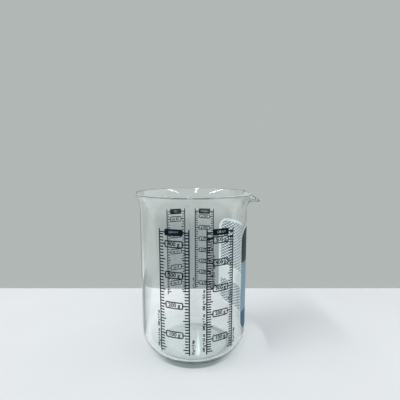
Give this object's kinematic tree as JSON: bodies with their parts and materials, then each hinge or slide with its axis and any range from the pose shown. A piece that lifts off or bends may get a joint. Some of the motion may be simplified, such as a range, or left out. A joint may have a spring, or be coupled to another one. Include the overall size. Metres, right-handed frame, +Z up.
{
  "type": "measuring cup",
  "caption": "Clear glass measuring cup: straight beaker with a large rounded heel, flared rim and pouring spout, fired-on gram and ounce scales and a paper label on the wall.",
  "frame": {"origin": "middle of the flat base, on the surface the cup stands on", "axes": "+Z up the cup's axis, +X towards the pouring spout, -Y the front in the picture"},
  "size_m": [0.1021, 0.0952, 0.135],
  "materials": {
    "clear_glass": "clear blown borosilicate glass, fire-polished rim, faint grey-green in thick edges",
    "fired_ink": "near-black ceramic ink, satin, slightly uneven cover",
    "label_paper": "coated paper in plain blue bands outside, white with a fine grey dot grid inside"
  },
  "bodies": {
    "root": {"glass_beaker": "clear_glass", "front_left_scale": "fired_ink", "front_right_scale": "fired_ink", "back_right_scale": "fired_ink", "back_left_scale": "fired_ink", "side_label": "label_paper"}
  },
  "joints": []
}
